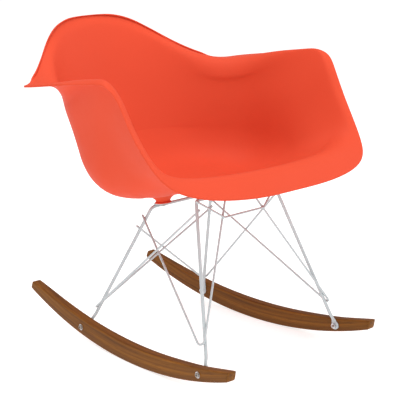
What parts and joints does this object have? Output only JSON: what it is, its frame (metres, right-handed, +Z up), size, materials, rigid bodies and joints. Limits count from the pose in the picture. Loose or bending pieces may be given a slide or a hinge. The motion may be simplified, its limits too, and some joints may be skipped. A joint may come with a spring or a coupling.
{
  "type": "moulded plastic rocking chair",
  "caption": "Armchair moulded as one plastic shell on a welded wire base with curved timber rockers.",
  "frame": {"origin": "centre of the overall outline at floor level, where the rockers rest", "axes": "+Z up, the chair faces -Y, +X is the sitter's left"},
  "size_m": [0.6296, 0.6717, 0.6725],
  "materials": {
    "shell": "fine moulded texture, low sheen",
    "frame": "white powder coat, satin",
    "timber": "oiled walnut tone",
    "fastener": "zinc plated",
    "insert": "turned"
  },
  "bodies": {
    "root": {"front_hoop": "frame", "front_tie": "frame", "mount_tab_front_left": "frame", "mount_tab_front_right": "frame", "mount_tab_rear_left": "frame", "mount_tab_rear_right": "frame", "rear_hoop": "frame", "rocker_bolt_front_left": "fastener", "rocker_bolt_front_right": "fastener", "rocker_bolt_rear_left": "fastener", "rocker_bolt_rear_right": "fastener", "rocker_left": "timber", "rocker_nut_front_left": "fastener", "rocker_nut_front_right": "fastener", "rocker_nut_rear_left": "fastener", "rocker_nut_rear_right": "fastener", "rocker_right": "timber", "rocker_washer_front_left": "fastener", "rocker_washer_front_right": "fastener", "rocker_washer_rear_left": "fastener", "rocker_washer_rear_right": "fastener", "seat_insert_front_left": "insert", "seat_insert_front_right": "insert", "seat_insert_rear_left": "insert", "seat_insert_rear_right": "insert", "seat_screw_front_left": "fastener", "seat_screw_front_right": "fastener", "seat_screw_rear_left": "fastener", "seat_screw_rear_right": "fastener", "seat_shell": "shell", "seat_washer_front_left": "fastener", "seat_washer_front_right": "fastener", "seat_washer_rear_left": "fastener", "seat_washer_rear_right": "fastener", "v_brace_front_left": "frame", "v_brace_front_right": "frame", "v_brace_rear_left": "frame", "v_brace_rear_right": "frame"}
  },
  "joints": []
}
